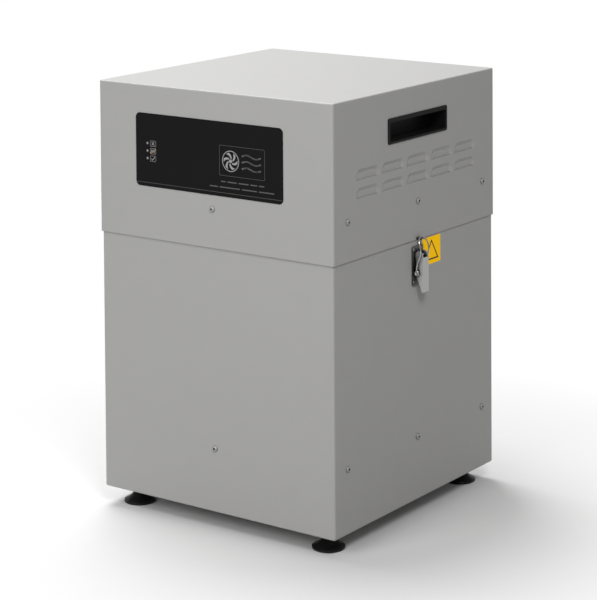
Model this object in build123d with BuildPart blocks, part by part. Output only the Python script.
from build123d import *
import os
from math import cos, radians, sin

# A floor-standing solder fume extractor: a steel filter cabinet on four levelling feet, with a
# lift-off head that holds the blower and the controls. Two toggle latches clamp the head down.
# Frame: +Z up from the floor, +X to the right of the operator, -Y towards the operator.
# The origin is on the floor under the middle of the cabinet. All sizes are in millimetres.

# ------------------------------------------------------------------ casings
SHEET = 1.5                               # folded steel sheet
SKIRT_GAP = 0.2                           # between the head's skirt and the cabinet's rim
HEAD_W, HEAD_D = 350.0, 353.0             # outside of the head cover
HEAD_BOTTOM, TOP = 339.5, 526.0
CABINET_W = HEAD_W - 2 * (SHEET + SKIRT_GAP)
CABINET_D = HEAD_D - 2 * (SHEET + SKIRT_GAP)
CABINET_BOTTOM, RIM_TOP = 22.0, 357.5
CORNER_R = 3.0                            # folded vertical corners
FOLD_R = 1.8                              # folded top and bottom edges
FACE_X, FACE_Y = HEAD_W / 2, HEAD_D / 2   # outer faces of the head
WALL_X, WALL_Y = CABINET_W / 2, CABINET_D / 2

# ------------------------------------------------------------------ screws (M4 button head) and clearances
M4_R, M4_HOLE_R, M4_TAP_R = 2.0, 2.25, 2.05
BUTTON_R, BUTTON_H, BUTTON_RIM = 3.9, 2.2, 0.5
BUTTON_FLAT_R, BUTTON_DOME_R = 1.9, 3.0
SOCKET_R, SOCKET_DEPTH = 1.45, 1.3
SCREW_LENGTH = 8.0
SIDE_SCREWS_Y = (-148.0, 0.0, 148.0)
HEAD_SCREW_Z, SHELF_SCREW_Z = 386.0, 98.9
RUNNING = 0.05                            # radial clearance of a turning or sliding shaft

# ------------------------------------------------------------------ levelling feet (M8)
FOOT_INSET = 32.0                         # from the head's faces to a foot's centre
FOOT_X, FOOT_Y = FACE_X - FOOT_INSET, FACE_Y - FOOT_INSET
FOOT_R, FOOT_RIM_H, FOOT_NECK_R, FOOT_FLARE_Z, FOOT_NECK_Z = 19.5, 3.0, 7.5, 12.5, 17.9
FOOT_EDGE = 0.6                           # chamfer under the pad's rim
FOOT_FLARE_R = 26.0
M8_R, M8_NUT_R, STUD_TOP = 4.0, 7.5, 48.0
LOCK_NUT_H, WELD_NUT_H = 4.0, 6.5

# ------------------------------------------------------------------ filter shelf and filters
SHELF_TOP, SHELF_FLANGE = 106.5, 20.0
AIR_OPENING = 250.0
GASKET_W, SHELF_GASKET_H = 12.0, 4.0
PREFILTER_SIDE, PREFILTER_LOW, PREFILTER_HIGH = 312.0, 110.6, 130.6
FILTER_SIDE, FILTER_LOW, FILTER_HIGH = 316.0, 130.8, 364.0
FILTER_WALL, FILTER_LIP = 2.0, 24.0
PLEAT_PITCH = 16.0

# ------------------------------------------------------------------ inlet spigot for a 50 mm hose
SPIGOT_Z, SPIGOT_R, SPIGOT_BORE_R = 58.0, 25.0, 22.5
SPIGOT_FLANGE_R, SPIGOT_PCD_R, SPIGOT_REACH = 35.0, 30.4, 45.7
SPIGOT_HOLE_GAP, SPIGOT_INWARD, SPIGOT_EDGE = 0.5, 12.0, 1.0
INLET_GASKET_T, SPIGOT_FLANGE_T = 1.5, 2.5

# ------------------------------------------------------------------ head floor and blower
FLOOR_LOW, FLOOR_T, FLOOR_FLANGE = 372.0, 2.0, 22.0
FLOOR_TOP = FLOOR_LOW + FLOOR_T
HEAD_GASKET_LOW = 364.4
EYE_R = 46.0                              # air hole of the floor and the blower
BLOWER_LOW, BLOWER_HIGH, BLOWER_SHEET = 384.0, 432.0, 2.0
BLOWER_PLATE, BLOWER_CORNER_R, BLOWER_MOUNT_PITCH = 200.0, 8.0, 172.0
SEAL_OUTER_R, SEAL_INNER_R = 56.0, 47.0
VOLUTE_START, VOLUTE_END, VOLUTE_TONGUE = 74.0, 96.0, 50.0
OUTLET_Y, OUTLET_X = 98.0, 42.0
IMPELLER_R, IMPELLER_LOW, IMPELLER_HIGH, BLADES = 66.0, 391.0, 427.0, 11
SHAFT_R, BEARING_R, BEARING_H = 3.97, 11.0, 7.0
CAN_R, CAN_WALL, CAN_H, CAN_PLATE, CAN_EDGE_R = 38.0, 2.5, 48.0, 8.0, 3.0
PRESS_GAP, BEARING_BORE_GAP, BEARING_INSET = 0.01, 0.03, 0.5
LID_TOP = BLOWER_HIGH + BLOWER_SHEET

# ------------------------------------------------------------------ front panel
OVERLAY_LEFT, OVERLAY_RIGHT, OVERLAY_LOW, OVERLAY_HIGH = -116.2, 104.8, 403.0, 491.7
OVERLAY_T, OVERLAY_R = 0.6, 6.0
LED_X, LED_Z, LED_PITCH, LED_R = -98.5, 446.2, 9.1, 1.6
LED_BOARD_GAP = 5.5

# ------------------------------------------------------------------ louvres and carry handles
LOUVRE_PITCH, LOUVRE_ROWS_Z = 53.2, (409.4, 430.8)
LOUVRE_L, LOUVRE_H, LOUVRE_R, LOUVRE_DEPTH, LOUVRE_TAPER = 47.0, 12.5, 9.0, 2.2, 62.0
LOUVRE_LAP, LOUVRE_LAP_L = 1.2, 38.0       # the pressed tongue laps below the slit's edge
HANDLE_Z, HANDLE_L, HANDLE_H, HANDLE_R = 478.2, 129.5, 31.0, 2.5
HANDLE_PROUD, HANDLE_DEPTH, HANDLE_WALL = 1.4, 26.0, 2.0
GRIP_BAR, SILL_BAR, SIDE_BAR = 5.0, 3.0, 3.6
HANDLE_EDGE_R, HANDLE_FIT, POCKET_CORNER_R, GRIP_DEPTH = 0.9, 0.6, 1.5, 4.0

# ------------------------------------------------------------------ toggle latches, right-hand side
BASE_T, BASE_HALF_W, BASE_LOW, BASE_HIGH = 1.2, 12.0, 284.0, 332.0
PIVOT_X, PIVOT_Z, PIVOT_R = 180.05, 321.0, 1.5
BAIL_X, BAIL_Z, WIRE_R = 178.7, 300.0, 0.9
HOOK_X, HOOK_Z = 179.7, 343.0             # top of the bail when it is closed
LEG_Y, EYE_PIN_R, EYE_PIN_Y = 9.0, 1.45, 9.6
LEG_PROFILE = ((179.6, 311.0), (183.2, 320.5), (184.4, 327.0))
ARCH_FOOT_X = 183.2                       # where the legs turn into the arch
LEVER_HALF_W, LEVER_T, LEVER_BACK, LEVER_FACE = 6.3, 1.1, 175.9, 186.0
LEVER_TIP, LEVER_WEB_TOP, LEVER_HEAD_R = 277.0, 319.0, 5.3
EAR_IN, EAR_OUT, EAR_R = 3.8, 5.0, 3.2
RIVET_Y, RIVET_ZS, RIVET_R, RIVET_HEAD_R, RIVET_HEAD_H = 8.6, (288.5, 327.5), 1.6, 2.6, 1.1
KEEPER_HOOK_HALF_W, KEEPER_T, KEEPER_REACH, BAR_GAP = 3.7, 1.2, 182.4, 0.25
KEEPER_LEG_TOP, KEEPER_LEG_HALF_W, KEEPER_LEG_LOW = 354.0, 8.0, 339.6
RIM_NOTCH_HALF_W, RIM_NOTCH_LOW = 11.0, 339.2
LABEL_Y, LABEL_Z, LABEL_W, LABEL_H, LABEL_T = 32.1, 320.2, 40.0, 33.2, 0.15

# ------------------------------------------------------------------ mains inlet and switch, rear of the head
POWER_X, SWITCH_X, POWER_Z = -100.0, -45.0, 432.0

os.makedirs("parts", exist_ok=True)


def save(piece, label):
    """Name a finished piece and write it as its own STEP file."""
    piece.part.label = label
    export_step(piece.part, f"parts/{label}.step")


def right_plane(x, z=0.0, y=0.0):
    """A plane on a right-hand face: local x runs back, local y runs up."""
    return Plane(origin=(x, y, z), x_dir=(0, 1, 0), z_dir=(1, 0, 0))


def front_plane(y, z=0.0, x=0.0):
    """A plane on a front face: local x runs right, local y runs up."""
    return Plane(origin=(x, -y, z), x_dir=(1, 0, 0), z_dir=(0, -1, 0))


def rear_plane(y, z=0.0, x=0.0):
    """A plane on a rear face: local x runs left, local y runs up."""
    return Plane(origin=(x, y, z), x_dir=(-1, 0, 0), z_dir=(0, 1, 0))


def casing_screws(face_x, face_y, z):
    """Planes of one row of casing screws: three a side, one in front and one behind."""
    rights = [right_plane(face_x, z, y) for y in SIDE_SCREWS_Y]
    lefts = [Plane(origin=(-face_x, y, z), x_dir=(0, 1, 0), z_dir=(-1, 0, 0)) for y in SIDE_SCREWS_Y]
    return rights + lefts + [front_plane(face_y, z), rear_plane(face_y, z)]


def button_screw(length=SCREW_LENGTH):
    """M4 button-head screw: seat at z = 0, head above, shank below."""
    with BuildPart() as screw:
        with BuildSketch(Plane.XZ):
            with BuildLine():
                shank = Polyline((0, -length), (M4_R, -length), (M4_R, 0), (BUTTON_R, 0))
                rim = Line(shank @ 1, (BUTTON_R, BUTTON_RIM))
                dome = RadiusArc(rim @ 1, (BUTTON_FLAT_R, BUTTON_H), -BUTTON_DOME_R)
                Polyline(dome @ 1, (0, BUTTON_H), shank @ 0)
            make_face()
        revolve(axis=Axis.Z)
        with BuildSketch(Plane.XY.offset(BUTTON_H)):
            RegularPolygon(SOCKET_R, 6)
        extrude(amount=-SOCKET_DEPTH, mode=Mode.SUBTRACT)
    return screw.part


def square_ring(outer, inner, low, high, corner=CORNER_R):
    """A flat square ring, such as a gasket."""
    with BuildPart() as ring:
        with BuildSketch(Plane.XY.offset(low)):
            RectangleRounded(outer, outer, corner)
            Rectangle(inner, inner, mode=Mode.SUBTRACT)
        extrude(amount=high - low)
    return ring


def hex_nut(radius, height):
    """A hexagonal nut with a running M8 bore, standing on z = 0."""
    with BuildPart() as nut:
        with BuildSketch():
            RegularPolygon(radius, 6)
            Circle(M8_R + RUNNING, mode=Mode.SUBTRACT)
        extrude(amount=height)
    return nut.part


def zigzag(width, low, high, pitch, drop):
    """Outline of a pleated sheet in a vertical plane; drop is the sheet's vertical thickness."""
    count = int(width // pitch)
    start = -count * pitch / 2
    crest, valley = high - drop, low
    lower = []
    for step in range(2 * count + 1):
        lower.append((start + step * pitch / 2, valley if step % 2 == 0 else crest))
    upper = [(x, z + drop) for x, z in reversed(lower)]
    return lower + upper


# ------------------------------------------------------------------ cabinet
with BuildPart() as cabinet_shell:
    with BuildSketch(Plane.XY.offset(CABINET_BOTTOM)):
        RectangleRounded(CABINET_W, CABINET_D, CORNER_R)
    extrude(amount=RIM_TOP - CABINET_BOTTOM)
    fillet(cabinet_shell.faces().sort_by(Axis.Z)[0].edges(), FOLD_R)
    offset(openings=cabinet_shell.faces().sort_by(Axis.Z)[-1], amount=-SHEET)
    with BuildSketch(Plane.XY.offset(CABINET_BOTTOM)):
        with GridLocations(2 * FOOT_X, 2 * FOOT_Y, 2, 2):
            Circle(M8_R + 0.5)
    extrude(amount=SHEET, mode=Mode.SUBTRACT)
    with Locations(*casing_screws(WALL_X, WALL_Y, SHELF_SCREW_Z)):
        Hole(M4_HOLE_R, depth=SHEET)
    # duct hole and flange screws at the back
    with BuildSketch(rear_plane(WALL_Y, SPIGOT_Z)):
        Circle(SPIGOT_R + SPIGOT_HOLE_GAP)
        with PolarLocations(SPIGOT_PCD_R, 4, start_angle=45):
            Circle(M4_TAP_R)
    extrude(amount=-SHEET, mode=Mode.SUBTRACT)
    # latch rivets, and a notch in the rim for each keeper's leg
    for x in (WALL_X, -WALL_X + SHEET):
        with BuildSketch(right_plane(x)):
            with Locations(*[(s * RIVET_Y, z) for s in (-1, 1) for z in RIVET_ZS]):
                Circle(RIVET_R)
            with Locations((0, RIM_TOP)):
                Rectangle(2 * RIM_NOTCH_HALF_W, 2 * (RIM_TOP - RIM_NOTCH_LOW))
        extrude(amount=-SHEET, mode=Mode.SUBTRACT)
save(cabinet_shell, "cabinet_shell")

with BuildPart() as foot_weld_nuts:
    with Locations(Plane.XY.offset(CABINET_BOTTOM + SHEET)):
        with GridLocations(2 * FOOT_X, 2 * FOOT_Y, 2, 2):
            add(hex_nut(M8_NUT_R, WELD_NUT_H))
save(foot_weld_nuts, "foot_weld_nuts")

with BuildPart() as foot_lock_nuts:
    with Locations(Plane.XY.offset(CABINET_BOTTOM - LOCK_NUT_H)):
        with GridLocations(2 * FOOT_X, 2 * FOOT_Y, 2, 2):
            add(hex_nut(M8_NUT_R, LOCK_NUT_H))
save(foot_lock_nuts, "foot_lock_nuts")

SHELF_X, SHELF_Y = WALL_X - SHEET - SKIRT_GAP, WALL_Y - SHEET - SKIRT_GAP
with BuildPart() as filter_shelf:
    with BuildSketch(Plane.XY.offset(SHELF_TOP - SHELF_FLANGE)):
        RectangleRounded(2 * SHELF_X, 2 * SHELF_Y, CORNER_R)
    extrude(amount=SHELF_FLANGE)
    offset(openings=filter_shelf.faces().sort_by(Axis.Z)[0], amount=-SHEET)
    with BuildSketch(Plane.XY.offset(SHELF_TOP)):
        RectangleRounded(AIR_OPENING, AIR_OPENING, CORNER_R)
    extrude(amount=-SHEET, mode=Mode.SUBTRACT)
    with Locations(*casing_screws(SHELF_X, SHELF_Y, SHELF_SCREW_Z)):
        Hole(M4_TAP_R, depth=SHEET)
save(filter_shelf, "filter_shelf")

shelf_gasket = square_ring(
    PREFILTER_SIDE, PREFILTER_SIDE - 2 * GASKET_W, SHELF_TOP, SHELF_TOP + SHELF_GASKET_H
)
save(shelf_gasket, "shelf_gasket")

# ------------------------------------------------------------------ inlet spigot
with BuildPart() as inlet_gasket:
    with BuildSketch(rear_plane(WALL_Y, SPIGOT_Z)):
        Circle(SPIGOT_FLANGE_R)
        Circle(SPIGOT_R + SPIGOT_HOLE_GAP, mode=Mode.SUBTRACT)
        with PolarLocations(SPIGOT_PCD_R, 4, start_angle=45):
            Circle(M4_HOLE_R, mode=Mode.SUBTRACT)
    extrude(amount=INLET_GASKET_T)
save(inlet_gasket, "inlet_gasket")

FLANGE_BACK = WALL_Y + INLET_GASKET_T
with BuildPart() as inlet_spigot:
    with BuildSketch(rear_plane(FLANGE_BACK, SPIGOT_Z)):
        Circle(SPIGOT_FLANGE_R)
        with PolarLocations(SPIGOT_PCD_R, 4, start_angle=45):
            Circle(M4_HOLE_R, mode=Mode.SUBTRACT)
    extrude(amount=SPIGOT_FLANGE_T)
    with BuildSketch(rear_plane(FLANGE_BACK, SPIGOT_Z)):
        Circle(SPIGOT_R)
    extrude(amount=SPIGOT_REACH)
    with BuildSketch(rear_plane(FLANGE_BACK, SPIGOT_Z)):
        Circle(SPIGOT_R - SPIGOT_HOLE_GAP)
    extrude(amount=-SPIGOT_INWARD)
    chamfer(inlet_spigot.faces().sort_by(Axis.Y)[-1].edges(), SPIGOT_EDGE)
    with BuildSketch(rear_plane(FLANGE_BACK + SPIGOT_REACH, SPIGOT_Z)):
        Circle(SPIGOT_BORE_R)
    extrude(amount=-SPIGOT_REACH - SPIGOT_INWARD, mode=Mode.SUBTRACT)
save(inlet_spigot, "inlet_spigot")

with BuildPart() as cabinet_screws:
    with Locations(*casing_screws(WALL_X, WALL_Y, SHELF_SCREW_Z)):
        add(button_screw())
    with Locations(rear_plane(FLANGE_BACK + SPIGOT_FLANGE_T, SPIGOT_Z)):
        with PolarLocations(SPIGOT_PCD_R, 4, start_angle=45):
            add(button_screw())
save(cabinet_screws, "cabinet_screws")

# ------------------------------------------------------------------ levelling feet
def levelling_foot(x, y):
    """Moulded pad with its threaded stud, standing on the floor at (x, y)."""
    with BuildPart() as foot:
        with BuildSketch(front_plane(-y, x=x)):
            with BuildLine():
                rim = Polyline((0, 0), (FOOT_R - FOOT_EDGE, 0), (FOOT_R, FOOT_EDGE), (FOOT_R, FOOT_RIM_H))
                flare = RadiusArc(rim @ 1, (FOOT_NECK_R, FOOT_FLARE_Z), FOOT_FLARE_R)
                neck = Polyline(flare @ 1, (FOOT_NECK_R, FOOT_NECK_Z), (M8_R, FOOT_NECK_Z))
                stud = Polyline(neck @ 1, (M8_R, STUD_TOP - 1), (M8_R - 1, STUD_TOP), (0, STUD_TOP))
                Line(stud @ 1, rim @ 0)
            make_face()
        revolve(axis=Axis((x, y, 0), (0, 0, 1)))
    return foot


for name, side_x, side_y in (
    ("foot_front_left", -1, -1),
    ("foot_front_right", 1, -1),
    ("foot_rear_left", -1, 1),
    ("foot_rear_right", 1, 1),
):
    save(levelling_foot(side_x * FOOT_X, side_y * FOOT_Y), name)

# ------------------------------------------------------------------ toggle latches
PLATE_FACE = WALL_X + BASE_T


def both_sides(right):
    """A right-hand piece and its mirror image, as one group."""
    with BuildPart() as pair:
        add(right.part)
        mirror(right.part, about=Plane.YZ)
    return pair


def left_hand(right):
    """The mirror image of a right-hand piece."""
    with BuildPart() as left:
        mirror(right.part, about=Plane.YZ)
    return left


with BuildPart() as right_base:
    with BuildSketch(right_plane(WALL_X, (BASE_LOW + BASE_HIGH) / 2)):
        RectangleRounded(2 * BASE_HALF_W, BASE_HIGH - BASE_LOW, 2.5)
    extrude(amount=BASE_T)
    with BuildSketch(right_plane(WALL_X)):
        with Locations(*[(s * RIVET_Y, z) for s in (-1, 1) for z in RIVET_ZS]):
            Circle(RIVET_R)
    extrude(amount=BASE_T, mode=Mode.SUBTRACT)
    for ear_front in (-EAR_OUT, EAR_IN):
        with BuildSketch(front_plane(-ear_front)):
            with Locations((PIVOT_X, PIVOT_Z)):
                Circle(EAR_R)
            with Locations((PLATE_FACE - BASE_T / 2, PIVOT_Z)):
                Rectangle(BASE_T / 2, 16)
            make_hull()
            with Locations((PIVOT_X, PIVOT_Z)):
                Circle(PIVOT_R + RUNNING / 2, mode=Mode.SUBTRACT)
        extrude(amount=-(EAR_OUT - EAR_IN))
save(both_sides(right_base), "latch_bases")

with BuildPart() as right_rivets:
    with BuildSketch(right_plane(PLATE_FACE)):
        with Locations(*[(s * RIVET_Y, z) for s in (-1, 1) for z in RIVET_ZS]):
            Circle(RIVET_HEAD_R)
    extrude(amount=RIVET_HEAD_H, taper=35)
    with BuildSketch(right_plane(PLATE_FACE)):
        with Locations(*[(s * RIVET_Y, z) for s in (-1, 1) for z in RIVET_ZS]):
            Circle(RIVET_R - RUNNING)
    extrude(amount=-BASE_T - SHEET)
    with BuildSketch(right_plane(WALL_X - SHEET)):
        with Locations(*[(s * RIVET_Y, z) for s in (-1, 1) for z in RIVET_ZS]):
            Circle(RIVET_HEAD_R - 0.4)
    extrude(amount=-RIVET_HEAD_H)
save(both_sides(right_rivets), "latch_rivets")

with BuildPart() as right_pin:
    with BuildSketch(front_plane(LEVER_HALF_W + 0.5)):
        with Locations((PIVOT_X, PIVOT_Z)):
            Circle(PIVOT_R)
    extrude(amount=-2 * LEVER_HALF_W - 1)
save(both_sides(right_pin), "latch_pins")

with BuildPart() as latch_lever_right:
    for wall_front in (-LEVER_HALF_W, LEVER_HALF_W - LEVER_T):
        with BuildSketch(front_plane(-wall_front)):
            with Locations((PIVOT_X, PIVOT_Z)):
                Circle(LEVER_HEAD_R)
            with BuildLine():
                Polyline(
                    (PIVOT_X - LEVER_HEAD_R, PIVOT_Z),
                    (LEVER_BACK, PIVOT_Z - 4),
                    (LEVER_BACK, BAIL_Z - 4),
                    (LEVER_FACE - 4, LEVER_TIP + 6),
                    (LEVER_FACE - 2.5, LEVER_TIP),
                    (LEVER_FACE, LEVER_TIP),
                    (LEVER_FACE, LEVER_WEB_TOP),
                    (PIVOT_X + LEVER_HEAD_R, PIVOT_Z),
                    close=True,
                )
            make_face()
            with Locations((PIVOT_X, PIVOT_Z)):
                Circle(PIVOT_R + RUNNING, mode=Mode.SUBTRACT)
        extrude(amount=-LEVER_T)
    for pin_start in (EYE_PIN_Y, -LEVER_HALF_W + LEVER_T / 2):
        with BuildSketch(front_plane(pin_start, BAIL_Z, BAIL_X)):
            Circle(EYE_PIN_R)
        extrude(amount=LEVER_HALF_W - LEVER_T / 2 - EYE_PIN_Y)
    with BuildSketch(right_plane(LEVER_FACE, (LEVER_TIP + LEVER_WEB_TOP) / 2)):
        Rectangle(2 * LEVER_HALF_W, LEVER_WEB_TOP - LEVER_TIP)
    extrude(amount=-LEVER_T)
save(latch_lever_right, "latch_lever_right")
save(left_hand(latch_lever_right), "latch_lever_left")

with BuildPart() as latch_bail_right:
    eye_r = EYE_PIN_R + RUNNING + WIRE_R
    half = [(BAIL_X, LEG_Y, BAIL_Z + eye_r)] + [(x, LEG_Y, z) for x, z in LEG_PROFILE]
    for angle in (0, 30, 60, 90):
        rise = sin(radians(angle))
        arch_x = ARCH_FOOT_X + (HOOK_X - ARCH_FOOT_X) * rise
        half.append((arch_x, LEG_Y * cos(radians(angle)), HOOK_Z - LEG_Y + LEG_Y * rise))
    with BuildLine():
        wire = Spline(*half, *[(x, -y, z) for x, y, z in reversed(half[:-1])])
    with BuildSketch(Plane(origin=wire @ 0, z_dir=wire % 0)):
        Circle(WIRE_R)
    sweep()
    with Locations(wire @ 0, wire @ 1):
        Sphere(WIRE_R + 0.02)
    for leg_y in (LEG_Y, -LEG_Y):
        with Locations(front_plane(leg_y, BAIL_Z, BAIL_X)):
            Torus(eye_r, WIRE_R)
save(latch_bail_right, "latch_bail_right")
save(left_hand(latch_bail_right), "latch_bail_left")

with BuildPart() as right_label:
    with BuildSketch(right_plane(WALL_X, LABEL_Z, LABEL_Y)):
        RectangleRounded(LABEL_W, LABEL_H, 0.8)
    extrude(amount=LABEL_T)
save(both_sides(right_label), "latch_labels")

# ------------------------------------------------------------------ prefilter and main filter
def pleats(side, low, high, pitch, drop):
    """A pleated sheet: the outline of its folds, drawn out across the filter."""
    outline = zigzag(side, low, high, pitch, drop)
    with BuildPart() as pack:
        with BuildSketch(front_plane(side / 2)):
            with BuildLine():
                Polyline(*outline, close=True)
            make_face()
        extrude(amount=-side)
    return pack


CARD_T, CARD_WALL, CARD_LIP, MEDIA_PITCH, MEDIA_DROP = 2.0, 3.0, 22.0, 12.0, 3.0
CARD_INSIDE, CARD_WINDOW = PREFILTER_SIDE - 2 * CARD_WALL, PREFILTER_SIDE - 2 * CARD_LIP
MEDIA_LOW, MEDIA_HIGH = PREFILTER_LOW + CARD_T + 0.1, PREFILTER_HIGH - CARD_T - 0.1
with BuildPart() as prefilter_frame:
    with BuildSketch(Plane.XY.offset(PREFILTER_LOW)):
        RectangleRounded(PREFILTER_SIDE, PREFILTER_SIDE, CORNER_R)
        Rectangle(CARD_INSIDE, CARD_INSIDE, mode=Mode.SUBTRACT)
    extrude(amount=PREFILTER_HIGH - PREFILTER_LOW)
    for lip_low in (PREFILTER_LOW, PREFILTER_HIGH - CARD_T):
        with BuildSketch(Plane.XY.offset(lip_low)):
            Rectangle(CARD_INSIDE + CARD_T, CARD_INSIDE + CARD_T)
            RectangleRounded(CARD_WINDOW, CARD_WINDOW, CORNER_R, mode=Mode.SUBTRACT)
        extrude(amount=CARD_T)
save(prefilter_frame, "prefilter_frame")
save(pleats(CARD_INSIDE - CARD_T, MEDIA_LOW, MEDIA_HIGH, MEDIA_PITCH, MEDIA_DROP), "prefilter_media")

with BuildPart() as filter_case:
    with BuildSketch(Plane.XY.offset(FILTER_LOW)):
        RectangleRounded(FILTER_SIDE, FILTER_SIDE, CORNER_R)
    extrude(amount=FILTER_HIGH - FILTER_LOW)
    with BuildSketch(Plane.XY.offset(FILTER_LOW)):
        Rectangle(FILTER_SIDE - 2 * FILTER_LIP, FILTER_SIDE - 2 * FILTER_LIP)
    extrude(amount=FILTER_HIGH - FILTER_LOW, mode=Mode.SUBTRACT)
    with BuildSketch(Plane.XY.offset(FILTER_LOW + FILTER_WALL)):
        Rectangle(FILTER_SIDE - 2 * FILTER_WALL, FILTER_SIDE - 2 * FILTER_WALL)
    extrude(amount=FILTER_HIGH - FILTER_LOW - 2 * FILTER_WALL, mode=Mode.SUBTRACT)
save(filter_case, "filter_case")

FILTER_INSIDE = FILTER_SIDE - 2 * FILTER_WALL - 1
HEPA_LOW, HEPA_HIGH = FILTER_LOW + FILTER_WALL + 0.5, 236.0
CARBON_LOW, CARBON_HIGH = 242.0, 356.0
SCREEN_T, SCREEN_GAP, SCREEN_PITCH, SCREEN_HOLE, SCREEN_HOLES, PLEAT_DROP = 1.0, 0.2, 28.0, 22.0, 9, 13.0
save(pleats(FILTER_INSIDE, HEPA_LOW, HEPA_HIGH, PLEAT_PITCH, PLEAT_DROP), "hepa_pleats")

with BuildPart() as carbon_bed:
    with BuildSketch(Plane.XY.offset(CARBON_LOW)):
        Rectangle(FILTER_INSIDE, FILTER_INSIDE)
    extrude(amount=CARBON_HIGH - CARBON_LOW)
save(carbon_bed, "carbon_bed")

with BuildPart() as carbon_screens:
    for low in (CARBON_LOW - SCREEN_T - SCREEN_GAP, CARBON_HIGH + SCREEN_GAP):
        with BuildSketch(Plane.XY.offset(low)):
            Rectangle(FILTER_INSIDE, FILTER_INSIDE)
            with GridLocations(SCREEN_PITCH, SCREEN_PITCH, SCREEN_HOLES, SCREEN_HOLES):
                RectangleRounded(SCREEN_HOLE, SCREEN_HOLE, 2.0, mode=Mode.SUBTRACT)
        extrude(amount=SCREEN_T)
save(carbon_screens, "carbon_screens")

STRAP_LOW, STRAP_T, STRAP_W = CARBON_HIGH + SCREEN_T + 2 * SCREEN_GAP, 2.0, 25.0
STRAP_L = FILTER_SIDE - 2 * FILTER_LIP - 8
with BuildPart() as lift_strap:
    with BuildSketch(Plane.XY.offset(STRAP_LOW)):
        Rectangle(STRAP_W, STRAP_L)
    extrude(amount=STRAP_T)
save(lift_strap, "lift_strap")

# ------------------------------------------------------------------ head cover
def louvre_blank(grow, depth):
    """The D-shaped dish of one louvre, pressed inward from a right-hand face at the origin."""
    with BuildPart() as blank:
        with BuildSketch(right_plane(0)):
            RectangleRounded(LOUVRE_L + 2 * grow, 2 * (LOUVRE_H + grow), LOUVRE_R + grow)
        extrude(amount=-depth, taper=LOUVRE_TAPER)
        with BuildSketch(right_plane(0)):
            with Locations((0, -LOUVRE_H)):
                Rectangle(2 * LOUVRE_L, 2 * LOUVRE_H)
        extrude(amount=-2 * depth, mode=Mode.SUBTRACT)
    return blank.part


louvre_places = [(FACE_X, k * LOUVRE_PITCH, z) for z in LOUVRE_ROWS_Z for k in range(-2, 3)]
louvre_skin = louvre_blank(SHEET / cos(radians(LOUVRE_TAPER)), LOUVRE_DEPTH + SHEET)
louvre_hollow = louvre_blank(0, LOUVRE_DEPTH)

with BuildPart() as louvre_lap:
    with BuildSketch(right_plane(-LOUVRE_DEPTH)):
        Rectangle(LOUVRE_LAP_L, 2 * LOUVRE_LAP)
    extrude(amount=-SHEET)

with BuildPart() as right_louvres:
    with Locations(*louvre_places):
        add(louvre_skin)
        add(louvre_lap.part)
    with Locations(*louvre_places):
        add(louvre_hollow, mode=Mode.SUBTRACT)

with BuildPart() as right_openings:
    with Locations(*louvre_places):
        add(louvre_hollow)

LOCK_Z = HANDLE_Z + (SILL_BAR - GRIP_BAR) / 2
POCKET_L = HANDLE_L - 2 * SIDE_BAR
POCKET_H = HANDLE_H - GRIP_BAR - SILL_BAR
POCKET_RISE = 5.0                         # the pocket reaches up behind the grip bar
CUTOUT_L = POCKET_L + 2 * HANDLE_WALL + HANDLE_FIT
CUTOUT_LOW = LOCK_Z - POCKET_H / 2 - HANDLE_WALL - HANDLE_FIT / 2
CUTOUT_HIGH = LOCK_Z + POCKET_H / 2 + POCKET_RISE - HANDLE_FIT
POWER_CUT_W, POWER_CUT_H = 30.4, 42.4
SWITCH_CUT_W, SWITCH_CUT_H = 22.4, 27.4
FLANGE_SCREW_X, FLANGE_W, POWER_FLANGE_H = 21.0, 52.0, 47.0

with BuildPart() as head_cover:
    with BuildSketch(Plane.XY.offset(HEAD_BOTTOM)):
        RectangleRounded(HEAD_W, HEAD_D, CORNER_R)
    extrude(amount=TOP - HEAD_BOTTOM)
    fillet(head_cover.faces().sort_by(Axis.Z)[-1].edges(), FOLD_R)
    offset(openings=head_cover.faces().sort_by(Axis.Z)[0], amount=-SHEET)
    add(right_openings.part, mode=Mode.SUBTRACT)
    mirror(right_openings.part, about=Plane.YZ, mode=Mode.SUBTRACT)
    add(right_louvres.part)
    mirror(right_louvres.part, about=Plane.YZ)
    with Locations(*casing_screws(FACE_X, FACE_Y, HEAD_SCREW_Z)):
        Hole(M4_HOLE_R, depth=SHEET)
    for x in (FACE_X, -FACE_X + SHEET):
        with BuildSketch(right_plane(x)):
            with Locations((0, (CUTOUT_LOW + CUTOUT_HIGH) / 2)):
                Rectangle(CUTOUT_L, CUTOUT_HIGH - CUTOUT_LOW)
            with Locations((0, HEAD_BOTTOM)):
                Rectangle(2 * KEEPER_HOOK_HALF_W + 0.6, 2 * (HOOK_Z - WIRE_R - BAR_GAP + 0.3 - HEAD_BOTTOM))
        extrude(amount=-SHEET, mode=Mode.SUBTRACT)
    with BuildSketch(front_plane(FACE_Y, LED_Z, LED_X)):
        with GridLocations(1, LED_PITCH, 1, 3):
            Circle(LED_R + 0.2)
    extrude(amount=-SHEET, mode=Mode.SUBTRACT)
    with BuildSketch(rear_plane(FACE_Y, POWER_Z)):
        with Locations((-POWER_X, 0)):
            Rectangle(POWER_CUT_W, POWER_CUT_H)
            with GridLocations(2 * FLANGE_SCREW_X, 1, 2, 1):
                Circle(M4_TAP_R)
        with Locations((-SWITCH_X, 0)):
            Rectangle(SWITCH_CUT_W, SWITCH_CUT_H)
    extrude(amount=-SHEET, mode=Mode.SUBTRACT)
save(head_cover, "head_cover")


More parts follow.
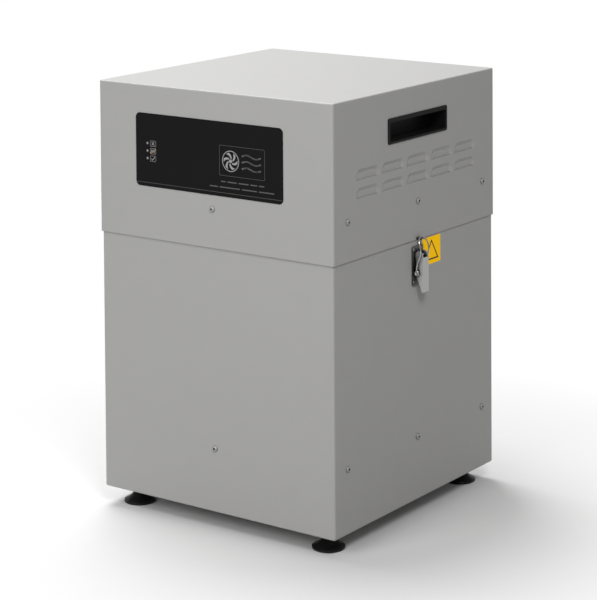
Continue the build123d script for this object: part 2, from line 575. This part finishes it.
# ------------------------------------------------------------------ latch keepers, welded inside the head
with BuildPart() as right_keeper:
    inside = FACE_X - SHEET
    with BuildSketch(right_plane(inside, (KEEPER_LEG_LOW + KEEPER_LEG_TOP) / 2)):
        RectangleRounded(2 * KEEPER_LEG_HALF_W, KEEPER_LEG_TOP - KEEPER_LEG_LOW, 1.5)
    extrude(amount=-KEEPER_T)
    saddle_z = HOOK_Z - LEG_Y
    saddle_r = LEG_Y - WIRE_R - BAR_GAP
    with BuildSketch(right_plane(inside - KEEPER_T)):
        with Locations((0, saddle_z)):
            Circle(saddle_r)
            Circle(saddle_r - KEEPER_T, mode=Mode.SUBTRACT)
        with Locations((0, HOOK_Z)):
            Rectangle(2 * KEEPER_HOOK_HALF_W, 2 * KEEPER_HOOK_HALF_W, mode=Mode.INTERSECT)
    extrude(amount=KEEPER_REACH - inside + KEEPER_T)
save(both_sides(right_keeper), "latch_keepers")

# ------------------------------------------------------------------ control overlay and its lamps
OVERLAY_X = (OVERLAY_LEFT + OVERLAY_RIGHT) / 2
OVERLAY_Z = (OVERLAY_LOW + OVERLAY_HIGH) / 2
with BuildPart() as control_overlay:
    with BuildSketch(front_plane(FACE_Y, OVERLAY_Z, OVERLAY_X)):
        RectangleRounded(OVERLAY_RIGHT - OVERLAY_LEFT, OVERLAY_HIGH - OVERLAY_LOW, OVERLAY_R)
        with Locations((LED_X - OVERLAY_X, LED_Z - OVERLAY_Z)):
            with GridLocations(1, LED_PITCH, 1, 3):
                Circle(LED_R + RUNNING, mode=Mode.SUBTRACT)
    extrude(amount=OVERLAY_T)
save(control_overlay, "control_overlay")

BOARD_FACE = FACE_Y - LED_BOARD_GAP
with BuildPart() as status_lamps:
    with BuildSketch(front_plane(BOARD_FACE, LED_Z, LED_X)):
        with GridLocations(1, LED_PITCH, 1, 3):
            Circle(LED_R)
    extrude(amount=FACE_Y + OVERLAY_T - BOARD_FACE)
    fillet(status_lamps.faces().group_by(Axis.Y)[0].edges(), LED_R / 2)
save(status_lamps, "status_lamps")

with BuildPart() as indicator_board:
    with BuildSketch(front_plane(BOARD_FACE, LED_Z, LED_X)):
        RectangleRounded(26, 44, 1.5)
    extrude(amount=-1.6)
    with BuildSketch(front_plane(BOARD_FACE - 1.6, LED_Z - 14, LED_X)):
        Rectangle(12, 6)
    extrude(amount=-7)
save(indicator_board, "indicator_board")

# ------------------------------------------------------------------ recessed carry handles
with BuildPart() as carry_handle_right:
    with BuildSketch(right_plane(FACE_X, HANDLE_Z)):
        RectangleRounded(HANDLE_L, HANDLE_H, HANDLE_R)
    extrude(amount=HANDLE_PROUD)
    fillet(carry_handle_right.faces().sort_by(Axis.X)[-1].edges(), HANDLE_EDGE_R)
    with BuildSketch(right_plane(FACE_X, (CUTOUT_LOW + CUTOUT_HIGH) / 2)):
        Rectangle(CUTOUT_L - HANDLE_FIT, CUTOUT_HIGH - CUTOUT_LOW - HANDLE_FIT)
    extrude(amount=-HANDLE_DEPTH)
    with BuildSketch(right_plane(FACE_X + HANDLE_PROUD, LOCK_Z)):
        RectangleRounded(POCKET_L, POCKET_H, POCKET_CORNER_R)
    extrude(amount=-HANDLE_DEPTH + HANDLE_WALL - HANDLE_PROUD, mode=Mode.SUBTRACT)
    with BuildSketch(right_plane(FACE_X - GRIP_DEPTH, LOCK_Z)):
        with Locations((0, POCKET_RISE / 2 - POCKET_CORNER_R)):
            Rectangle(POCKET_L, POCKET_H + POCKET_RISE - 2 * POCKET_CORNER_R)
    extrude(amount=-HANDLE_DEPTH + HANDLE_WALL + GRIP_DEPTH, mode=Mode.SUBTRACT)
save(carry_handle_right, "carry_handle_right")
save(left_hand(carry_handle_right), "carry_handle_left")

# ------------------------------------------------------------------ head floor, gasket and foam
FLOOR_W = HEAD_W - 2 * SHEET - 2 * SKIRT_GAP
FLOOR_D = HEAD_D - 2 * SHEET - 2 * SKIRT_GAP
MOUNT_STUD_R, MOUNT_R, MOUNT_WAIST_R, MOUNT_STUD_L, MOUNT_HOLE_R = 2.0, 8.0, 6.0, 4.0, 2.1

with BuildPart() as head_floor:
    with BuildSketch(Plane.XY.offset(FLOOR_LOW)):
        RectangleRounded(FLOOR_W, FLOOR_D, CORNER_R)
    extrude(amount=FLOOR_FLANGE)
    offset(openings=head_floor.faces().sort_by(Axis.Z)[-1], amount=-FLOOR_T)
    with BuildSketch(Plane.XY.offset(FLOOR_LOW)):
        Circle(EYE_R)
        with GridLocations(BLOWER_MOUNT_PITCH, BLOWER_MOUNT_PITCH, 2, 2):
            Circle(MOUNT_HOLE_R)
    extrude(amount=FLOOR_T, mode=Mode.SUBTRACT)
    with Locations(*casing_screws(FACE_X - SHEET - SKIRT_GAP, FACE_Y - SHEET - SKIRT_GAP, HEAD_SCREW_Z)):
        Hole(M4_TAP_R, depth=FLOOR_T)
save(head_floor, "head_floor")

HEAD_GASKET_SIDE = FILTER_SIDE - 2
head_gasket = square_ring(HEAD_GASKET_SIDE, HEAD_GASKET_SIDE - 2 * GASKET_W, HEAD_GASKET_LOW, FLOOR_LOW)
save(head_gasket, "head_gasket")

FOAM_SIDE, FOAM_T, FOAM_CORNER_R, FOAM_GLUE = 318.0, 12.0, 8.0, 0.1
with BuildPart() as acoustic_foam:
    with BuildSketch(Plane.XY.offset(TOP - SHEET - FOAM_T)):
        RectangleRounded(FOAM_SIDE, FOAM_SIDE, FOAM_CORNER_R)
    extrude(amount=FOAM_T - FOAM_GLUE)
save(acoustic_foam, "acoustic_foam")

# ------------------------------------------------------------------ blower housing
with BuildPart() as vibration_mounts:
    with BuildSketch(Plane.XZ):
        with BuildLine():
            Polyline(
                (0, FLOOR_TOP - MOUNT_STUD_L),
                (MOUNT_STUD_R, FLOOR_TOP - MOUNT_STUD_L),
                (MOUNT_STUD_R, FLOOR_TOP),
                (MOUNT_R, FLOOR_TOP),
                (MOUNT_WAIST_R, (FLOOR_TOP + BLOWER_LOW) / 2),
                (MOUNT_R, BLOWER_LOW),
                (MOUNT_STUD_R, BLOWER_LOW),
                (MOUNT_STUD_R, BLOWER_LOW + MOUNT_STUD_L),
                (0, BLOWER_LOW + MOUNT_STUD_L),
                close=True,
            )
        make_face()
    spool = revolve(axis=Axis.Z, mode=Mode.PRIVATE)
    with GridLocations(BLOWER_MOUNT_PITCH, BLOWER_MOUNT_PITCH, 2, 2):
        add(spool)
save(vibration_mounts, "vibration_mounts")


def volute_radius(angle):
    """Radius of the volute's spiral at an angle in degrees."""
    return VOLUTE_START + (VOLUTE_END - VOLUTE_START) * (angle - VOLUTE_TONGUE) / (360 - VOLUTE_TONGUE)


def volute(shrink, low, high, mouth):
    """Solid of the blower's scroll; shrink moves its wall inward, mouth is the outlet's y."""
    spiral = []
    for step in range(13):
        angle = VOLUTE_TONGUE + step * (360 - VOLUTE_TONGUE) / 12
        radius = volute_radius(angle) - shrink
        spiral.append((radius * cos(radians(angle)), radius * sin(radians(angle))))
    with BuildPart() as scroll:
        with BuildSketch(Plane.XY.offset(low)):
            with BuildLine():
                curve = Spline(*spiral)
                Polyline(curve @ 1, (VOLUTE_END - shrink, mouth), (OUTLET_X + shrink, mouth), curve @ 0)
            make_face()
        extrude(amount=high - low)
    return scroll.part


with BuildPart() as blower_housing:
    with BuildSketch(Plane.XY.offset(BLOWER_LOW)):
        RectangleRounded(BLOWER_PLATE, BLOWER_PLATE, BLOWER_CORNER_R)
    extrude(amount=BLOWER_SHEET)
    add(volute(0, BLOWER_LOW, BLOWER_HIGH, OUTLET_Y))
    hollow_low, past_outlet = BLOWER_LOW + BLOWER_SHEET, OUTLET_Y + 2 * BLOWER_SHEET
    add(volute(BLOWER_SHEET, hollow_low, BLOWER_HIGH, past_outlet), mode=Mode.SUBTRACT)
    with BuildSketch(Plane.XY.offset(BLOWER_LOW)):
        Circle(EYE_R)
        with GridLocations(BLOWER_MOUNT_PITCH, BLOWER_MOUNT_PITCH, 2, 2):
            Circle(MOUNT_HOLE_R)
    extrude(amount=BLOWER_SHEET, mode=Mode.SUBTRACT)
save(blower_housing, "blower_housing")

CAN_SCREW_PITCH, LID_EYE_R = 44.0, 14.0
with BuildPart() as blower_lid:
    add(volute(0, BLOWER_HIGH, LID_TOP, OUTLET_Y))
    with BuildSketch(Plane.XY.offset(BLOWER_HIGH)):
        Circle(LID_EYE_R)
        with GridLocations(CAN_SCREW_PITCH, CAN_SCREW_PITCH, 2, 2):
            Circle(M4_HOLE_R)
    extrude(amount=BLOWER_SHEET, mode=Mode.SUBTRACT)
save(blower_lid, "blower_lid")

with BuildPart() as blower_inlet_seal:
    with BuildSketch(Plane.XY.offset(FLOOR_TOP)):
        Circle(SEAL_OUTER_R)
        Circle(SEAL_INNER_R, mode=Mode.SUBTRACT)
    extrude(amount=BLOWER_LOW - FLOOR_TOP)
save(blower_inlet_seal, "blower_inlet_seal")

# ------------------------------------------------------------------ motor
CAN_TOP = LID_TOP + CAN_H
with BuildPart() as motor_can:
    with BuildSketch(Plane.XY.offset(LID_TOP)):
        Circle(CAN_R)
    extrude(amount=CAN_H)
    fillet(motor_can.faces().sort_by(Axis.Z)[-1].edges(), CAN_EDGE_R)
    with BuildSketch(Plane.XY.offset(LID_TOP + CAN_PLATE)):
        Circle(CAN_R - CAN_WALL)
    extrude(amount=CAN_H - 2 * CAN_PLATE, mode=Mode.SUBTRACT)
    with BuildSketch(Plane.XY.offset(LID_TOP)):
        Circle(BEARING_R)
    extrude(amount=CAN_H, mode=Mode.SUBTRACT)
    with BuildSketch(Plane.XY.offset(LID_TOP)):
        with GridLocations(CAN_SCREW_PITCH, CAN_SCREW_PITCH, 2, 2):
            Circle(M4_TAP_R)
    extrude(amount=CAN_PLATE, mode=Mode.SUBTRACT)
save(motor_can, "motor_can")

with BuildPart() as motor_bearings:
    for low in (LID_TOP + BEARING_INSET, CAN_TOP - BEARING_H - BEARING_INSET):
        with BuildSketch(Plane.XY.offset(low)):
            Circle(BEARING_R - PRESS_GAP)
            Circle(SHAFT_R + BEARING_BORE_GAP, mode=Mode.SUBTRACT)
        extrude(amount=BEARING_H)
save(motor_bearings, "motor_bearings")

STATOR_LOW, STATOR_HIGH, STATOR_BORE_R, ROTOR_R = 446.0, 470.0, 20.0, 19.2
SLOTS, SLOT_CENTRE_R, SLOT_L, SLOT_W = 12, 26.5, 8.0, 4.5
with BuildPart() as motor_stator:
    with BuildSketch(Plane.XY.offset(STATOR_LOW)):
        Circle(CAN_R - CAN_WALL - RUNNING)
        Circle(STATOR_BORE_R, mode=Mode.SUBTRACT)
        with PolarLocations(SLOT_CENTRE_R, SLOTS):
            SlotCenterToCenter(SLOT_L, SLOT_W, mode=Mode.SUBTRACT)
    extrude(amount=STATOR_HIGH - STATOR_LOW)
save(motor_stator, "motor_stator")

with BuildPart() as motor_rotor:
    with BuildSketch(Plane.XY.offset(STATOR_LOW)):
        Circle(ROTOR_R)
        Circle(SHAFT_R + PRESS_GAP, mode=Mode.SUBTRACT)
    extrude(amount=STATOR_HIGH - STATOR_LOW)
save(motor_rotor, "motor_rotor")

with BuildPart() as motor_shaft:
    with BuildSketch(Plane.XY.offset(IMPELLER_LOW + 1)):
        Circle(SHAFT_R)
    extrude(amount=CAN_TOP + 2 - IMPELLER_LOW - 1)
    chamfer(motor_shaft.edges().filter_by(GeomType.CIRCLE), 0.5)
save(motor_shaft, "motor_shaft")

HUB_R, HUB_RISE, BACK_PLATE_T, SHROUD_T, SHROUD_EYE_R = 14.0, 8.0, 2.0, 1.6, 42.0
BLADE_T, BLADE_CAMBER = 1.6, ((40.0, 0.0), (53.0, -6.0), (62.0, -19.0))
with BuildPart() as impeller:
    with BuildSketch(Plane.XY.offset(IMPELLER_HIGH - BACK_PLATE_T)):
        Circle(IMPELLER_R)
    extrude(amount=BACK_PLATE_T)
    with BuildSketch(Plane.XY.offset(IMPELLER_LOW + HUB_RISE)):
        Circle(HUB_R)
    extrude(amount=IMPELLER_HIGH - IMPELLER_LOW - HUB_RISE)
    with BuildSketch(Plane.XY.offset(IMPELLER_LOW)):
        Circle(IMPELLER_R)
        Circle(SHROUD_EYE_R, mode=Mode.SUBTRACT)
    extrude(amount=SHROUD_T)
    with BuildSketch(Plane.XY.offset(IMPELLER_LOW)):
        with PolarLocations(0, BLADES):
            with BuildLine():
                camber = ThreePointArc(*BLADE_CAMBER)
                offset(camber, amount=BLADE_T / 2, kind=Kind.ARC)
            make_face()
    extrude(amount=IMPELLER_HIGH - IMPELLER_LOW)
    with BuildSketch(Plane.XY.offset(IMPELLER_LOW)):
        Circle(SHAFT_R + PRESS_GAP)
    extrude(amount=IMPELLER_HIGH - IMPELLER_LOW, mode=Mode.SUBTRACT)
save(impeller, "impeller")

# ------------------------------------------------------------------ mains inlet with its fuse drawer
POWER_FLANGE_T, POWER_DEPTH, PANEL_FIT, SOCKET_CHAMFER, BLADE_TAIL = 2.5, 24.0, 0.4, 4.5, 7.0
SOCKET_W, SOCKET_H, SOCKET_DEPTH_Y, SOCKET_UP = 24.4, 16.6, 16.0, 10.0
BLADE_W, BLADE_H, BLADE_GAP = 2.0, 4.0, 7.0
DRAWER_W, DRAWER_H, DRAWER_L, DRAWER_DOWN, DRAWER_LIP, DRAWER_FIT = 25.0, 9.0, 20.0, 12.5, 1.6, 0.2
DRAWER_BEZEL_W, DRAWER_BEZEL_H, DRAWER_NECK_W, DRAWER_NECK_H, DRAWER_SHUT = 28.0, 11.0, 23.0, 7.0, 0.1
FUSE_R, FUSE_L, FUSE_PITCH, FUSE_INSET, FUSE_FIT = 2.6, 20.0, 7.5, 6.5, 0.2
BLADE_PLACES = ((0, 3.0), (-BLADE_GAP, -1.5), (BLADE_GAP, -1.5))
POWER_FACE = FACE_Y + POWER_FLANGE_T

with BuildPart() as power_inlet:
    with BuildSketch(rear_plane(FACE_Y, POWER_Z, POWER_X)):
        RectangleRounded(FLANGE_W, POWER_FLANGE_H, 3.0)
        with GridLocations(2 * FLANGE_SCREW_X, 1, 2, 1):
            Circle(M4_HOLE_R, mode=Mode.SUBTRACT)
    extrude(amount=POWER_FLANGE_T)
    with BuildSketch(rear_plane(FACE_Y, POWER_Z, POWER_X)):
        Rectangle(POWER_CUT_W - PANEL_FIT, POWER_CUT_H - PANEL_FIT)
    extrude(amount=-POWER_DEPTH)
    with BuildSketch(rear_plane(POWER_FACE, POWER_Z + SOCKET_UP, POWER_X)):
        socket = Rectangle(SOCKET_W, SOCKET_H)
        chamfer(socket.vertices().group_by(Axis.Z)[-1], SOCKET_CHAMFER)
    extrude(amount=-SOCKET_DEPTH_Y - POWER_FLANGE_T, mode=Mode.SUBTRACT)
    with BuildSketch(rear_plane(POWER_FACE, POWER_Z + SOCKET_UP, POWER_X)):
        with Locations(*BLADE_PLACES):
            Rectangle(BLADE_W + RUNNING, BLADE_H + RUNNING)
    extrude(amount=-POWER_DEPTH - POWER_FLANGE_T, mode=Mode.SUBTRACT)
    with BuildSketch(rear_plane(POWER_FACE, POWER_Z - DRAWER_DOWN, POWER_X)):
        Rectangle(DRAWER_W + DRAWER_FIT, DRAWER_H + DRAWER_FIT)
    extrude(amount=-DRAWER_L - 2 * DRAWER_FIT, mode=Mode.SUBTRACT)
save(power_inlet, "power_inlet")

with BuildPart() as power_blades:
    with BuildSketch(rear_plane(FACE_Y, POWER_Z + SOCKET_UP, POWER_X)):
        with Locations(*BLADE_PLACES):
            Rectangle(BLADE_W, BLADE_H)
    extrude(amount=-POWER_DEPTH - BLADE_TAIL)
save(power_blades, "power_blades")

# the head's M4 screws: the casing's row, the motor's four and the power inlet's two
with BuildPart() as head_screws:
    with Locations(*casing_screws(FACE_X, FACE_Y, HEAD_SCREW_Z)):
        add(button_screw())
    with Locations(Plane(origin=(0, 0, BLOWER_HIGH), z_dir=(0, 0, -1))):
        with GridLocations(CAN_SCREW_PITCH, CAN_SCREW_PITCH, 2, 2):
            add(button_screw())
    with Locations(rear_plane(POWER_FACE, POWER_Z, POWER_X)):
        with GridLocations(2 * FLANGE_SCREW_X, 1, 2, 1):
            add(button_screw())
save(head_screws, "head_screws")

FUSES_BACK = POWER_FACE - FUSE_INSET
with BuildPart() as fuse_drawer:
    with BuildSketch(rear_plane(POWER_FACE, POWER_Z - DRAWER_DOWN, POWER_X)):
        Rectangle(DRAWER_W, DRAWER_H)
    extrude(amount=-DRAWER_L)
    with BuildSketch(rear_plane(POWER_FACE + DRAWER_SHUT, POWER_Z - DRAWER_DOWN, POWER_X)):
        RectangleRounded(DRAWER_BEZEL_W, DRAWER_BEZEL_H, 1.0)
    extrude(amount=DRAWER_LIP)
    with BuildSketch(rear_plane(POWER_FACE, POWER_Z - DRAWER_DOWN, POWER_X)):
        Rectangle(DRAWER_NECK_W, DRAWER_NECK_H)
    extrude(amount=DRAWER_SHUT)
    for back in (FUSES_BACK, FUSES_BACK - FUSE_PITCH):
        with BuildSketch(right_plane(POWER_X + FUSE_L / 2 + FUSE_FIT, POWER_Z - DRAWER_DOWN, back)):
            Circle(FUSE_R + FUSE_FIT / 2)
            with Locations((0, DRAWER_H / 2)):
                Rectangle(2 * FUSE_R + FUSE_FIT, DRAWER_H)
        extrude(amount=-FUSE_L - 2 * FUSE_FIT, mode=Mode.SUBTRACT)
save(fuse_drawer, "fuse_drawer")

with BuildPart() as fuses:
    for back in (FUSES_BACK, FUSES_BACK - FUSE_PITCH):
        with BuildSketch(right_plane(POWER_X + FUSE_L / 2, POWER_Z - DRAWER_DOWN, back)):
            Circle(FUSE_R)
        extrude(amount=-FUSE_L)
save(fuses, "fuses")

# ------------------------------------------------------------------ rocker switch
SWITCH_FLANGE_W, SWITCH_FLANGE_H, SWITCH_FLANGE_T, SWITCH_DEPTH = 26.0, 31.5, 2.0, 20.0
ROCKER_W, ROCKER_HALF, ROCKER_TILT, ROCKER_AXLE_Y = 17.6, 11.6, 8.0, FACE_Y - 4.0
ROCKER_AXLE_R, ROCKER_CREST, ROCKER_BELLY = 1.5, 5.2, 3.0
# distance from the axle and angle of each corner of the rocker's side
ROCKER_OUTLINE = (
    (ROCKER_HALF, -12),
    (ROCKER_HALF, 33),
    (ROCKER_CREST, 90),
    (ROCKER_HALF, 147),
    (ROCKER_HALF, 192),
    (ROCKER_BELLY, 270),
)
SWITCH_VOID_DEPTH, SWITCH_EDGE, ROCKER_SIDE_GAP, ROCKER_END_GAP, AXLE_STUB = 10.0, 0.6, 0.3, 0.8, 1.8

with BuildPart() as switch_housing:
    with BuildSketch(rear_plane(FACE_Y, POWER_Z, SWITCH_X)):
        RectangleRounded(SWITCH_FLANGE_W, SWITCH_FLANGE_H, 2.0)
    extrude(amount=SWITCH_FLANGE_T)
    chamfer(switch_housing.faces().sort_by(Axis.Y)[-1].edges(), SWITCH_EDGE)
    with BuildSketch(rear_plane(FACE_Y, POWER_Z, SWITCH_X)):
        Rectangle(SWITCH_CUT_W - PANEL_FIT, SWITCH_CUT_H - PANEL_FIT)
    extrude(amount=-SWITCH_DEPTH)
    with BuildSketch(rear_plane(FACE_Y + SWITCH_FLANGE_T, POWER_Z, SWITCH_X)):
        Rectangle(ROCKER_W + 2 * ROCKER_SIDE_GAP, 2 * (ROCKER_HALF + ROCKER_END_GAP))
    extrude(amount=-SWITCH_VOID_DEPTH - SWITCH_FLANGE_T, mode=Mode.SUBTRACT)
    with BuildSketch(right_plane(SWITCH_X + (SWITCH_CUT_W - PANEL_FIT) / 2, POWER_Z, ROCKER_AXLE_Y)):
        Circle(ROCKER_AXLE_R + RUNNING)
    extrude(amount=-SWITCH_CUT_W + PANEL_FIT, mode=Mode.SUBTRACT)
save(switch_housing, "switch_housing")


def rocker_point(radius, angle):
    """A point of the rocker's side profile, turned to the off position; angle 90 faces out."""
    turned = radians(angle - ROCKER_TILT)
    return (radius * cos(turned), radius * sin(turned))


with BuildPart() as switch_rocker:
    rocker_profile = Plane(
        origin=(SWITCH_X + ROCKER_W / 2, ROCKER_AXLE_Y, POWER_Z), x_dir=(0, 0, 1), z_dir=(-1, 0, 0)
    )
    with BuildSketch(rocker_profile):
        with BuildLine():
            Polyline(*(rocker_point(radius, angle) for radius, angle in ROCKER_OUTLINE), close=True)
        make_face()
    extrude(amount=ROCKER_W)
    with BuildSketch(right_plane(SWITCH_X + ROCKER_W / 2 + AXLE_STUB, POWER_Z, ROCKER_AXLE_Y)):
        Circle(ROCKER_AXLE_R)
    extrude(amount=-ROCKER_W - 2 * AXLE_STUB)
save(switch_rocker, "switch_rocker")

# ------------------------------------------------------------------ control electronics
BOARD_X, BOARD_Y, BOARD_W, BOARD_L, BOARD_T, BOARD_LOW = -137.0, 20.0, 54.0, 120.0, 1.6, 384.0
STANDOFF_R, STANDOFF_INSET = 3.5, 5.0
BOARD_TOP = BOARD_LOW + BOARD_T

with BuildPart() as board_standoffs:
    with BuildSketch(Plane(origin=(BOARD_X, BOARD_Y, FLOOR_TOP))):
        with GridLocations(BOARD_W - 2 * STANDOFF_INSET, BOARD_L - 2 * STANDOFF_INSET, 2, 2):
            RegularPolygon(STANDOFF_R, 6)
    extrude(amount=BOARD_LOW - FLOOR_TOP)
save(board_standoffs, "board_standoffs")

with BuildPart() as control_board:
    with BuildSketch(Plane(origin=(BOARD_X, BOARD_Y, BOARD_LOW))):
        RectangleRounded(BOARD_W, BOARD_L, 2.0)
    extrude(amount=BOARD_T)
save(control_board, "control_board")

# x, y, width, length and height of each block, from the middle of the board
TRANSFORMER, PLUG_ROW = (-4, 8, 34, 28, 22), (0, -50, 30, 9, 10)
HEAT_SINKS = tuple((x, -22, 3, 22, 18) for x in (-13.5, -4.5, 4.5, 13.5))
CAPACITORS, CAPACITOR_R, CAPACITOR_H = ((-12, 42), (8, 42)), 8.0, 26.0
with BuildPart() as board_components:
    with BuildSketch(Plane(origin=(BOARD_X, BOARD_Y, BOARD_TOP))):
        with Locations(*CAPACITORS):
            Circle(CAPACITOR_R)
    extrude(amount=CAPACITOR_H)
    for x, y, width, length, height in (TRANSFORMER, PLUG_ROW, *HEAT_SINKS):
        with BuildSketch(Plane(origin=(BOARD_X + x, BOARD_Y + y, BOARD_TOP))):
            Rectangle(width, length)
        extrude(amount=height)
save(board_components, "board_components")

SENSOR_X, SENSOR_Y, SENSOR_R, SENSOR_H, SENSOR_EDGE = 138.0, 120.0, 16.0, 14.0, 2.0
NIPPLE_R, NIPPLE_H, TUBE_R, TUBE_BORE_R = 1.4, 9.0, 2.5, 1.5
TUBE_RISE, TUBE_RUN, TUBE_BEND, TUBE_GAP = 26.0, 50.0, 9.0, 0.2
with BuildPart() as pressure_switch:
    with BuildSketch(Plane(origin=(SENSOR_X, SENSOR_Y, FLOOR_TOP))):
        Circle(SENSOR_R)
    extrude(amount=SENSOR_H)
    chamfer(pressure_switch.faces().sort_by(Axis.Z)[-1].edges(), SENSOR_EDGE)
    with BuildSketch(Plane(origin=(SENSOR_X, SENSOR_Y, FLOOR_TOP + SENSOR_H))):
        Circle(NIPPLE_R)
    extrude(amount=NIPPLE_H)
save(pressure_switch, "pressure_switch")

with BuildPart() as sensing_tube:
    tube_low = FLOOR_TOP + SENSOR_H + TUBE_GAP
    with BuildLine():
        run = FilletPolyline(
            (SENSOR_X, SENSOR_Y, tube_low),
            (SENSOR_X, SENSOR_Y, tube_low + TUBE_RISE),
            (SENSOR_X, SENSOR_Y - TUBE_RUN, tube_low + TUBE_RISE),
            (SENSOR_X, SENSOR_Y - TUBE_RUN, FLOOR_TOP + TUBE_GAP),
            radius=TUBE_BEND,
        )
    with BuildSketch(Plane(origin=run @ 0, z_dir=run % 0)):
        Circle(TUBE_R)
        Circle(TUBE_BORE_R, mode=Mode.SUBTRACT)
    sweep()
save(sensing_tube, "sensing_tube")

LOOM_R, LOOM_BEND, LOOM_GAP, LOOM_TURN, LEAD_STEP, LEAD_TURN, LEAD_GAP = 3.0, 10.0, 1.0, 19.0, 8.0, 16.0, 0.5
LOOM_HIGH, LEAD_HIGH = TOP - SHEET - FOAM_T - 2 * LOOM_R, LID_TOP + 32
LOOM_BACK = FACE_Y - SWITCH_DEPTH - LOOM_GAP
PLUG_Y, PLUG_Z = BOARD_Y + PLUG_ROW[1], BOARD_TOP + PLUG_ROW[4] + 2 * LOOM_GAP
LOOM_PATH = (
    (SWITCH_X, LOOM_BACK, POWER_Z),
    (SWITCH_X, LOOM_BACK - LOOM_TURN, POWER_Z),
    (SWITCH_X, LOOM_BACK - LOOM_TURN, LOOM_HIGH),
    (BOARD_X, PLUG_Y, LOOM_HIGH),
    (BOARD_X, PLUG_Y, PLUG_Z),
)
LEAD_PATH = (
    (BOARD_X + LEAD_STEP, PLUG_Y, PLUG_Z),
    (BOARD_X + LEAD_STEP, PLUG_Y, LEAD_HIGH),
    (-CAN_R - LEAD_TURN, 0, LEAD_HIGH),
    (-CAN_R - LEAD_GAP, 0, LEAD_HIGH),
)

with BuildPart() as wiring_loom:
    for path in (LOOM_PATH, LEAD_PATH):
        with BuildLine():
            cable = FilletPolyline(*path, radius=LOOM_BEND)
        with BuildSketch(Plane(origin=cable @ 0, z_dir=cable % 0)):
            Circle(LOOM_R)
        sweep()
save(wiring_loom, "wiring_loom")
